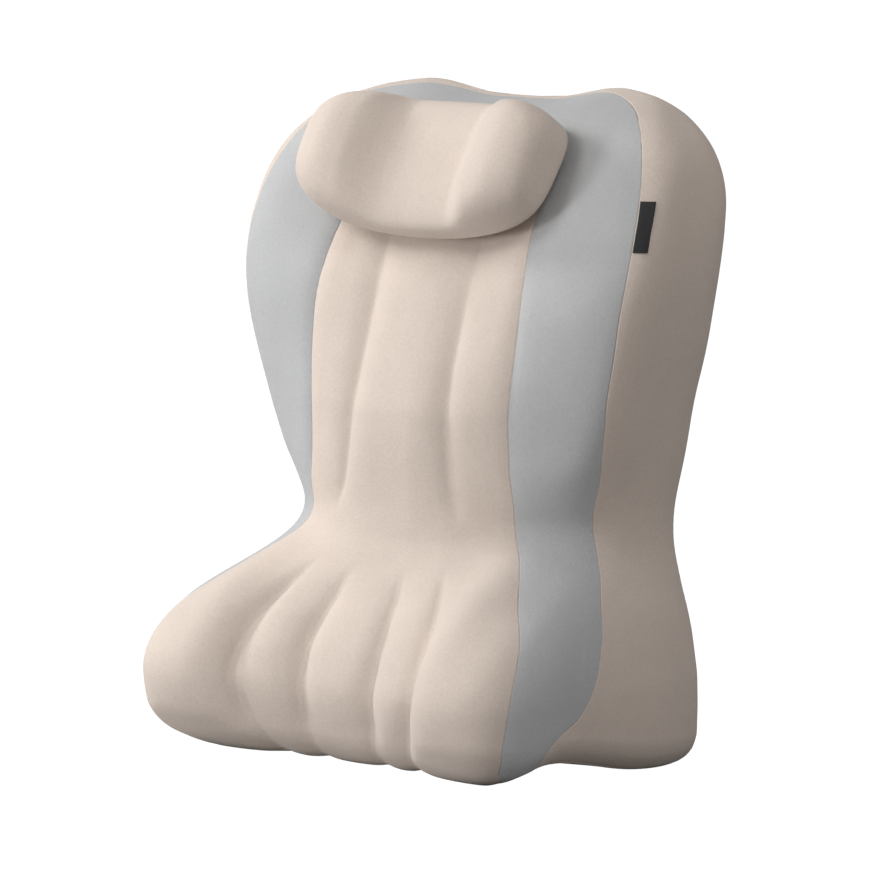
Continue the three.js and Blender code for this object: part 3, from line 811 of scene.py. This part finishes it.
def pillow_rings(front):
    """Rings from the seam to the middle of the front or the back."""
    phi, theta, run, first = pillow_meridians()
    rows = 60 if front else 24
    rings = []
    for column in range(PILLOW_COLUMNS):
        seam = run[first[column], column]
        length = seam if front else run[-1, column] - seam
        even = np.linspace(EDGE_STEPS[-1], length - 1.0, rows)
        steps = np.concatenate([PILLOW_EDGE_STEPS, even[1:]])
        place = seam - steps if front else seam + steps
        rings.append(np.interp(place, run[:, column], theta))
    return pillow_at(np.array(rings).T, phi[None, :])


def pillow_cover(name, front):
    rings = pillow_rings(front)
    moved = rings + PILLOW_SWELLING.at(rings)
    middle = moved[-1].mean(0)
    points = np.concatenate([moved.reshape(-1, 3), [middle]])
    outward = PILLOW_OUT if front else -PILLOW_OUT
    faces = ringed_faces(len(rings), PILLOW_COLUMNS)
    if face_normals(points, faces[-1:])[0] @ outward < 0:
        faces = faces[:, ::-1]
    away = np.full(len(points), FAR)
    away[:len(PILLOW_EDGE_STEPS) * PILLOW_COLUMNS] = np.repeat(PILLOW_EDGE_STEPS, PILLOW_COLUMNS)
    sunk = rolled(away) + pucker(away, points)
    weave = np.stack([points[:, 0], (points - PILLOW_MIDDLE) @ (PILLOW_UP - 0.4 * PILLOW_OUT)], -1)
    return shell_object(name, points, faces, -sunk, np.full(len(points), -COVER), weave)


def pillow_form():
    theta = np.linspace(0, math.pi, 90)[1:-1, None]
    phi = np.linspace(0, 2 * math.pi, 200, endpoint=False)[None, :]
    ends = pillow_at(np.array([0.0, math.pi]), np.array([0.0, 0.0]))
    points, faces = closed_rings(pillow_at(theta, phi), ends)
    turned = [face[::-1] for face in faces]
    return Form("pillow_form", points, turned, voxel=4.5, settle=2)


def pillow_swelling(form):
    """Blows the pillow up; its back and the seam round it stay where they are."""
    local_out = (form.rest - PILLOW_MIDDLE) @ PILLOW_OUT
    ear = np.abs(form.rest[:, 0]) / PILLOW["half_width"]
    held = 1 - smooth(local_out - PILLOW["hug"] * ear ** 2, -12, 6)
    valley = 1 - smooth(np.abs(ear - 0.3), 0.06, 0.3)
    held = np.maximum(held, 0.7 * valley)
    shrink = (1 - held) * 2.5
    return form.inflate(held, shrink, cap=5, pressure=5.0, frames=20, even=3)


PILLOW_FORM = pillow_form()
PILLOW_SWELLING = pillow_swelling(PILLOW_FORM)
pillow_front = pillow_cover("pillow_front", True)
pillow_back = pillow_cover("pillow_back", False)
pillow_filling = PILLOW_FORM.under_layer("pillow_filling", PILLOW_FOAM_BELOW, None)


# ---------------------------------------------------------------- tapes, webbing and zip
def tape(name, grid, low, high, outward):
    """Flat tape over a grid of points, between two heights above it, with rounded edges."""
    rows, columns, _ = grid.shape
    across, along = run_along(grid, 0), run_along(grid, 1)
    points = grid.reshape(-1, 3)
    faces = facing(points, grid_faces(rows, columns), outward)
    edge = np.minimum.reduce([across, across[-1:] - across, along, along[:, -1:] - along]).ravel()
    near = np.clip(1 - edge / TAPE_ROUND, 0, 1)
    fall = (high - low) * 0.45 * (1 - np.sqrt(1 - near * near))
    weave = np.stack([across, along], -1).reshape(-1, 2)
    return shell_object(name, points, faces, high - fall, low + fall, weave)


def edge_spaced(start, end, spacing):
    """Even places from start to end, with closer ones at both ends for a rounded edge."""
    near = np.array([0, 0.12, 0.3, 0.55])
    middle = np.linspace(start + 1, end - 1, max(int((end - start) / spacing), 2))
    return np.concatenate([start + near, middle, end - near[::-1]])


def backwards(_):
    return np.array([0, 1, 0])


def chair_strap():
    """Elastic strap across the back, flat on the cover, each end sewn to the cover."""
    z = edge_spaced(STRAP["z"] - STRAP["width"] / 2, STRAP["z"] + STRAP["width"] / 2, 3.5)
    angle = np.radians(np.linspace(STRAP["from"], 360 - STRAP["from"], 150))
    grid = body(*np.broadcast_arrays(angle[None, :], z[:, None]))
    grid = grid + SWELLING.at(grid)
    return tape("strap_webbing", grid, STRAP["low"], STRAP["high"], from_centre)


def side_label():
    """Folded woven label caught in the wing seam of the +X side."""
    z = edge_spaced(LABEL["low"], LABEL["high"], 1.5)
    seam = WING_SEAM["angle"](z)[:, None]
    share = np.linspace(0, 1, 22)[None, :]
    angle = np.radians(seam + lerp(LABEL["from_seam"], LABEL["to_seam"], share))
    grid = body(*np.broadcast_arrays(angle, z[:, None]))
    grid = grid + SWELLING.at(grid)
    lift = 0.5 + 0.7 * share + 0.25 * np.sin(share * 5 + z[:, None] / 9)
    out = unit(from_centre(grid.mean((0, 1))))
    return tape("label_loop", grid + lift[..., None] * out, 0.1, 0.9, from_centre)


def flat_tape(name, node, spacing, wave):
    """Tape that fills the box of a CAD node on the back, with a slight wave."""
    low, high = box_of(node)
    x = edge_spaced(low[0], high[0], spacing)[None, :]
    z = edge_spaced(low[2], high[2], 1.5)[:, None]
    x, z = np.broadcast_arrays(x, z)
    y = (low[1] + high[1]) / 2 + wave * np.sin(x / 17)
    half = (high[1] - low[1]) / 2
    return tape(name, np.stack([x, y, z], -1), -half, half, backwards)


def tube(path, radius, sides=6):
    """Points and faces of a round thread along a path."""
    path = np.asarray(path, float)
    ahead = unit(np.gradient(path, axis=0))
    side = unit(np.cross(ahead, [0.1, 1, 0.05]))
    up = np.cross(side, ahead)
    turn = np.linspace(0, 2 * math.pi, sides, endpoint=False)[None, :, None]
    ring = path[:, None] + radius * (np.cos(turn) * side[:, None] + np.sin(turn) * up[:, None])
    return closed_rings(ring, [path[0], path[-1]])


def joined(name, solids):
    """One object from several closed solids of points and faces."""
    points, faces = [], []
    for solid_points, solid_faces in solids:
        first = sum(map(len, points))
        points.append(solid_points)
        faces += [[first + i for i in face] for face in solid_faces]
    made = new_object(name, np.concatenate(points), faces)
    shade_smooth(made)
    return made


def zip_coil():
    """Two wire spirals whose turns lie between each other."""
    low, high = box_of("zip_coil")
    centre_y, centre_z = (low[1] + high[1]) / 2, (low[2] + high[2]) / 2
    pitch, wire = 1.5, 0.32
    half_y = (high[1] - low[1]) / 2 - wire
    reach = (high[2] - low[2]) / 4
    turns = int((high[0] - low[0]) / pitch) - 1
    angle = np.arange(turns * 14) * (2 * math.pi / 14)
    spirals = []
    for side in (1, -1):
        x = low[0] + pitch * (0.75 + 0.25 * side) + angle / (2 * math.pi) * pitch
        y = centre_y + half_y * np.sin(angle)
        z = centre_z + side * (reach * 0.72 + (reach - wire) * 1.1 * np.cos(angle))
        spirals.append(tube(np.stack([x, y, z], -1), wire))
    return joined("zip_spirals", spirals)


def stitched(name, path, length=2.4, gap=1.0, radius=0.28):
    """Row of stitches along a path, each dipping into the cloth at its ends."""
    path = np.asarray(path, float)
    run = np.append(0, np.cumsum(np.linalg.norm(np.diff(path, axis=0), axis=1)))
    solids = []
    for start in np.arange(0, run[-1] - length, length + gap):
        places = np.linspace(start, start + length, 5)
        line = np.stack([np.interp(places, run, path[:, i]) for i in range(3)], -1)
        line[[0, -1], 1] -= 0.3
        solids.append(tube(line, radius))
    return joined(name, solids)


def back_rectangle(half_x, half_z, middle_z):
    """Corner-to-corner path of a rectangle that lies on the flat back."""
    corners = np.array([(-1, -1), (1, -1), (1, 1), (-1, 1), (-1, -1)]) * [half_x, half_z]
    sides = [lerp(a, b, np.linspace(0, 1, 60)[:, None]) for a, b in zip(corners[:-1], corners[1:])]
    flat = np.concatenate(sides)
    return np.stack([flat[:, 0], np.full(len(flat), BACK_Y + 0.12), middle_z + flat[:, 1]], -1)


strap_piece = chair_strap()
tail_piece = flat_tape("tail_webbing", "strap_tail", 2.5, 0.15)
label_piece = side_label()
upper_tape = flat_tape("tape_upper", "zip_tape_upper", 2.0, 0)
lower_tape = flat_tape("tape_lower", "zip_tape_lower", 2.0, 0)
coil_piece = zip_coil()
zip_stitches = stitched("zip_topstitch", back_rectangle(
    ZIP_HOLE["x"] + ZIP_SLOT["stitch"], ZIP_HOLE["half"] + ZIP_SLOT["stitch"], ZIP_HOLE["z"]))


# ---------------------------------------------------------------- materials
class Finish:
    """A procedural material under construction."""

    def __init__(self, name, roughness=0.8, metallic=0.0):
        self.material = bpy.data.materials.new(name)
        self.material.use_nodes = True
        self.tree = self.material.node_tree
        self.shader = self.tree.nodes["Principled BSDF"]
        self.set("Roughness", roughness)
        self.set("Metallic", metallic)

    def set(self, socket, value):
        self.shader.inputs[socket].default_value = value

    def node(self, kind, **settings):
        made = self.tree.nodes.new("ShaderNode" + kind)
        for key, value in settings.items():
            setattr(made, key, value)
        return made

    def join(self, output, target):
        if isinstance(output, (int, float)):
            target.default_value = output
        else:
            self.tree.links.new(output, target)

    def math(self, operation, a, b=0.0, c=0.0):
        made = self.node("Math", operation=operation)
        for value, socket in zip((a, b, c), made.inputs):
            self.join(value, socket)
        return made.outputs[0]

    def place(self):
        """Place on the object, in metres."""
        return self.node("TexCoord").outputs["Object"]

    def cloth_place(self):
        """Place on the cloth as two outputs, in millimetres across and along."""
        split = self.node("SeparateXYZ")
        self.join(self.node("Attribute", attribute_name="weave").outputs["Vector"], split.inputs[0])
        return split.outputs[0], split.outputs[1]

    def noise(self, scale, detail=3.0, rough=0.5):
        made = self.node("TexNoise")
        self.join(self.place(), made.inputs["Vector"])
        made.inputs["Scale"].default_value = scale
        made.inputs["Detail"].default_value = detail
        made.inputs["Roughness"].default_value = rough
        return made.outputs["Fac"]

    def mix(self, share, first, second):
        made = self.node("Mix", data_type="RGBA")
        self.join(share, made.inputs[0])
        for value, socket in ((first, made.inputs[6]), (second, made.inputs[7])):
            if isinstance(value, tuple):
                socket.default_value = (*value, 1)
            else:
                self.join(value, socket)
        return made.outputs[2]

    def times(self, first, second):
        made = self.node("Mix", data_type="RGBA", blend_type="MULTIPLY")
        made.inputs[0].default_value = 1.0
        self.join(first, made.inputs[6])
        self.join(second, made.inputs[7])
        return made.outputs[2]

    def ramp(self, value, low, high):
        made = self.node("MapRange")
        self.join(value, made.inputs["Value"])
        made.inputs["From Min"].default_value = low
        made.inputs["From Max"].default_value = high
        return made.outputs["Result"]

    def bump(self, height, distance, strength, below=None):
        made = self.node("Bump")
        self.join(height, made.inputs["Height"])
        made.inputs["Distance"].default_value = distance
        made.inputs["Strength"].default_value = strength
        if below is not None:
            self.join(below, made.inputs["Normal"])
        return made.outputs["Normal"]

    def finish(self, colour, normal=None):
        self.join(colour, self.shader.inputs["Base Color"])
        if normal is not None:
            self.join(normal, self.shader.inputs["Normal"])
        return self.material


def linear(red, green, blue):
    """Linear colour from the usual 0 to 255 one."""
    values = np.array([red, green, blue]) / 255
    low, high = values / 12.92, ((values + 0.055) / 1.055) ** 2.4
    return tuple(float(v) for v in np.where(values <= 0.04045, low, high))


def scaled(colour, factor):
    return tuple(min(c * factor, 1.0) for c in colour)


def knit(name, colour):
    """Fine weft knit: rows of loops, a short pile and slightly uneven dye."""
    finish = Finish(name, roughness=0.86)
    finish.set("Sheen Weight", 0.18)
    finish.set("Sheen Roughness", 0.5)
    finish.set("Specular IOR Level", 0.2)
    across, along = finish.cloth_place()
    wale, course = 1.25, 1.05
    leg = finish.math("ABSOLUTE", finish.math("COSINE", finish.math("MULTIPLY", across, math.pi / wale)))
    leaning = finish.math("MULTIPLY_ADD", leg, 0.5 * course, along)
    loop = finish.math("COSINE", finish.math("MULTIPLY", leaning, 2 * math.pi / course))
    stitch = finish.math("MULTIPLY_ADD", loop, 0.3, leg)
    pile = finish.noise(430, 2.0, 0.6)
    mottle = finish.noise(14, 3.0, 0.55)
    dyed = finish.mix(finish.ramp(mottle, 0.3, 0.7), scaled(colour, 0.965), scaled(colour, 1.025))
    speck = finish.mix(finish.ramp(pile, 0.3, 0.7), (0.91, 0.905, 0.9), (1.0, 1.0, 1.0))
    normal = finish.bump(stitch, 0.00025, 0.35)
    normal = finish.bump(pile, 0.0007, 0.4, normal)
    return finish.finish(finish.times(dyed, speck), normal)


def webbing(name, colour, rib, weft):
    """Woven tape: ribs along it and finer weft threads across them, with painted shade in the hollows of
    the weave and painted light on its ribs.
    """
    finish = Finish(name, roughness=0.75)
    finish.set("Sheen Weight", 0.1)
    across, along = finish.cloth_place()
    ribs = finish.math("COSINE", finish.math("MULTIPLY", across, 2 * math.pi / rib))
    threads = finish.math("COSINE", finish.math("MULTIPLY", along, 2 * math.pi / weft))
    weave = finish.math("MULTIPLY_ADD", threads, 0.5, ribs)
    # painted shade and highlight: the colour follows the weave's height, darker in its hollows and lighter
    # on its ribs
    tone = finish.mix(finish.ramp(weave, -1.5, 1.5), scaled(colour, 0.75), scaled(colour, 1.15))
    return finish.finish(tone, finish.bump(weave, 0.0002, 0.6))


def grained(name, colour, roughness, scale, distance, metallic=0.0, sheen=0.0):
    """Plain stuff with a fine grain and a little unevenness: foam, plastic, tape or metal."""
    finish = Finish(name, roughness, metallic)
    finish.set("Sheen Weight", sheen)
    grain = finish.noise(scale, 4.0, 0.6)
    patch = finish.noise(30, 2.0)
    toned = finish.mix(finish.ramp(patch, 0.3, 0.7), scaled(colour, 0.92), scaled(colour, 1.06))
    return finish.finish(toned, finish.bump(grain, distance, 0.5))


BEIGE = linear(213, 199, 188)
GREY = linear(183, 184, 185)
beige_knit = knit("beige_knit", BEIGE)
grey_knit = knit("grey_knit", GREY)
foam = grained("foam", linear(233, 226, 207), 0.95, 900, 0.0006)
lining = grained("lining", linear(242, 240, 234), 0.9, 1500, 0.0002)
black_web = webbing("black_web", linear(36, 36, 39), 2.2, 1.1)
label_tape = webbing("label_tape", linear(40, 40, 43), 0.8, 0.5)
black_plastic = grained("black_plastic", linear(43, 43, 45), 0.45, 1200, 0.00005)
zip_web = webbing("zip_web", linear(196, 181, 168), 1.2, 0.8)
zip_thread = grained("zip_thread", linear(186, 170, 156), 0.5, 1500, 0.0001)
sewing_thread = grained("sewing_thread", linear(205, 191, 179), 0.7, 1500, 0.0001)
hook_pile = grained("hook_pile", linear(52, 52, 54), 0.9, 700, 0.0009, sheen=0.3)
loop_pile = grained("loop_pile", linear(205, 191, 179), 0.95, 600, 0.0009, sheen=0.5)
nickel = grained("nickel", linear(205, 203, 199), 0.28, 900, 0.00002, metallic=1.0)


def dress(made, material):
    made.data.materials.clear()
    made.data.materials.append(material)


def finish_piece(made, material, body_name, slot, *nodes):
    dress(made, material)
    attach(made, body_name)
    if nodes:
        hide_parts(*nodes)


def keep_node(node, material, edge):
    """A CAD node that stays as it is, with softened edges and a finer material."""
    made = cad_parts[node]
    dress(made, material)
    bevel = made.modifiers.new("edges", "BEVEL")
    bevel.width = edge * MM
    bevel.segments = 3
    bevel.limit_method = "ANGLE"
    bevel.angle_limit = math.radians(40)


for made, material, slot, node in (
        (front_panel, beige_knit, "beige_knit", "front_panel"),
        (surround_panel, grey_knit, "grey_knit", "surround_panel"),
        (side_gusset, beige_knit, "beige_knit", "side_gusset"),
        (back_panel, beige_knit, "beige_knit", "back_panel"),
        (base_piece, beige_knit, "beige_knit", "base_panel"),
        (foam_piece, foam, "core_foam", "foam_core"),
        (liner_piece, lining, "liner_cloth", "inner_liner"),
        (pillow_front, beige_knit, "beige_knit", "pillow_front_cover"),
        (pillow_back, beige_knit, "beige_knit", "pillow_back_cover"),
        (pillow_filling, foam, "pillow_foam", "pillow_core"),
        (strap_piece, black_web, "elastic_web", "chair_strap"),
        (tail_piece, black_web, "elastic_web", "strap_tail"),
        (label_piece, label_tape, "label_tape", "side_label"),
        (upper_tape, zip_web, "zip_tape", "zip_tape_upper"),
        (lower_tape, zip_web, "zip_tape", "zip_tape_lower"),
        (coil_piece, zip_thread, "zip_coil", "zip_coil")):
    finish_piece(made, material, "neck_pillow" if node.startswith("pillow") else "cushion", slot, node)
finish_piece(zip_stitches, sewing_thread, "cushion", "beige_knit")

for node, material, edge in (
        ("zip_stop_left", nickel, 0.3), ("zip_stop_right", nickel, 0.3),
        ("zip_slider", nickel, 0.5), ("zip_pull", nickel, 0.25),
        ("strap_adjuster", black_plastic, 0.7),
        ("hook_strip_right", hook_pile, 0.3), ("hook_strip_left", hook_pile, 0.3),
        ("loop_strip_right", loop_pile, 0.3), ("loop_strip_left", loop_pile, 0.3)):
    keep_node(node, material, edge)


# ---------------------------------------------------------------- camera, light and floor
AZIMUTH, ELEVATION = 44.0, 6.3
TARGET = Vector((0.0107, 0.0103, 0.308))
DISTANCE = 6.376
LENS = 275.7
WORLD_LIGHT = 0.34
LAMP_DISTANCE, LAMP_SIZE = 2.6, 0.8
FLOOR_REACH = 30
FLOOR_GREY = 0.35
FLOOR_WHITE = {"share": 0.8, "strength": 1.3}


def direction(azimuth, elevation):
    """Unit vector from the object towards a camera or lamp there; azimuth 0 is in front."""
    a, e = math.radians(azimuth), math.radians(elevation)
    return Vector((math.sin(a) * math.cos(e), -math.cos(a) * math.cos(e), math.sin(e)))


def aimed(data, name, azimuth, elevation, distance):
    made = bpy.data.objects.new(name, data)
    bpy.context.scene.collection.objects.link(made)
    towards = direction(azimuth, elevation)
    made.location = TARGET + towards * distance
    made.rotation_euler = (-towards).to_track_quat("-Z", "Y").to_euler()
    return made


def lamp(name, azimuth, elevation, power):
    data = bpy.data.lights.new(name, "AREA")
    data.shape = "DISK"
    data.size = LAMP_SIZE
    data.energy = power
    return aimed(data, name, azimuth, elevation, LAMP_DISTANCE)


camera_data = bpy.data.cameras.new("camera")
camera_data.lens = LENS
camera_data.sensor_width = 36
camera = aimed(camera_data, "camera", AZIMUTH, ELEVATION, DISTANCE)
camera_data.clip_end = 100
bpy.context.scene.camera = camera

lamp("left", -75, 30, 38)
lamp("low", -30, 5, 24)
lamp("high", -15, 42, 14)
lamp("right", 60, 40, 13)


def whiter_to_camera(tree, shader, output, share, strength):
    """Lightens what the camera sees of a shader, and not the light that it gives."""
    seen = tree.nodes.new("ShaderNodeLightPath")
    part = tree.nodes.new("ShaderNodeMath")
    part.operation = "MULTIPLY"
    part.inputs[1].default_value = share
    white = tree.nodes.new("ShaderNodeEmission")
    white.inputs["Color"].default_value = (1.0, 1.0, 1.0, 1)
    white.inputs["Strength"].default_value = strength
    mix = tree.nodes.new("ShaderNodeMixShader")
    tree.links.new(seen.outputs["Is Camera Ray"], part.inputs[0])
    tree.links.new(part.outputs[0], mix.inputs[0])
    tree.links.new(shader, mix.inputs[1])
    tree.links.new(white.outputs[0], mix.inputs[2])
    tree.links.new(mix.outputs[0], output)


world = bpy.data.worlds.new("studio")
world.use_nodes = True
bpy.context.scene.world = world
world_nodes = world.node_tree.nodes
background = world_nodes["Background"]
background.inputs["Color"].default_value = (1.0, 0.985, 0.97, 1)
background.inputs["Strength"].default_value = WORLD_LIGHT
whiter_to_camera(world.node_tree, background.outputs[0], world_nodes["World Output"].inputs[0], 1, 1)
bpy.context.scene.view_settings.view_transform = "Standard"

floor_mesh = bpy.data.meshes.new("floor")
floor_corners = [(FLOOR_REACH * x, FLOOR_REACH * y, 0) for x, y in ((-1, -1), (1, -1), (1, 1), (-1, 1))]
floor_mesh.from_pydata(floor_corners, [], [(0, 1, 2, 3)])
floor = bpy.data.objects.new("floor", floor_mesh)
bpy.context.scene.collection.objects.link(floor)
floor_finish = Finish("floor", roughness=0.9)
floor_finish.set("Base Color", (FLOOR_GREY, FLOOR_GREY, FLOOR_GREY, 1))
floor_end = floor_finish.tree.nodes["Material Output"].inputs[0]
whiter_to_camera(floor_finish.tree, floor_finish.shader.outputs[0], floor_end, **FLOOR_WHITE)
floor.data.materials.append(floor_finish.material)
